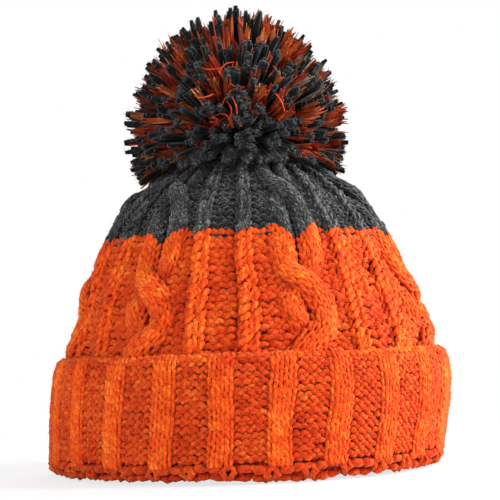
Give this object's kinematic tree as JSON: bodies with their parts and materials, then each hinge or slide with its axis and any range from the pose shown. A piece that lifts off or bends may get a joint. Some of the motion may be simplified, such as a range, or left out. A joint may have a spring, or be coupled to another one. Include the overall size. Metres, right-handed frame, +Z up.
{
  "type": "pom pom beanie",
  "caption": "Chunky cable-knit winter hat with a turned-up ribbed cuff, a darker crown and a tied yarn pom on top.",
  "frame": {"origin": "centre of the hat's footprint, on the surface that the cuff's fold rests on", "axes": "+Z up to the pom, -Y towards the hat's front, +Y towards the back seam, +X to the right seen from the front"},
  "size_m": [0.22, 0.22, 0.2471],
  "materials": {
    "orange_yarn": "chunky heather acrylic knit, matt with a soft halo",
    "charcoal_yarn": "chunky heather acrylic knit, matt with pale stray fibres",
    "tie_yarn": "strong charcoal yarn, matt",
    "pom_charcoal": "cut charcoal yarn with brushed ends",
    "pom_orange": "cut orange yarn with brushed ends",
    "pom_rust": "cut rust red yarn, thinner and brighter than the charcoal"
  },
  "bodies": {
    "hat": {"body_knit": "orange_yarn", "crown_knit": "charcoal_yarn", "back_seam_body": "orange_yarn", "back_seam_crown": "charcoal_yarn", "crown_gather_yarn": "charcoal_yarn", "tie_knot": "tie_yarn"},
    "cuff": {"cuff_band": "orange_yarn", "cuff_cast_on_edge": "orange_yarn", "back_seam_cuff": "orange_yarn"},
    "tie": {"pom_tie_shank": "tie_yarn"},
    "binding": {"pom_binding": "tie_yarn"},
    "pom": {"pom_core": "pom_charcoal", "pom_lower_strands": "pom_charcoal", "pom_charcoal_tufts": "pom_charcoal", "pom_orange_tufts": "pom_orange", "pom_rust_tufts": "pom_rust"}
  },
  "joints": [
    {"name": "cuff_turn_down", "type": "slide", "parent": "hat", "child": "cuff", "axis": [0, 0, -1], "range_m": [0, 0.025]},
    {"name": "pom_nod", "type": "hinge", "parent": "hat", "child": "tie", "pos_m": [0, 0, 0.16975], "axis": [1, 0, 0], "range_deg": [-12, 12], "stiffness_Nm_per_rad": 0.05, "deforming": ["pom_lower_strands"]},
    {"name": "pom_sway", "type": "hinge", "parent": "tie", "child": "binding", "pos_m": [0, 0, 0.16975], "axis": [0, 1, 0], "range_deg": [-12, 12], "stiffness_Nm_per_rad": 0.05, "deforming": ["pom_lower_strands"]},
    {"name": "pom_twist", "type": "hinge", "parent": "binding", "child": "pom", "pos_m": [0, 0, 0.188], "axis": [0, 0, 1], "range_deg": [-25, 25], "stiffness_Nm_per_rad": 0.03}
  ]
}
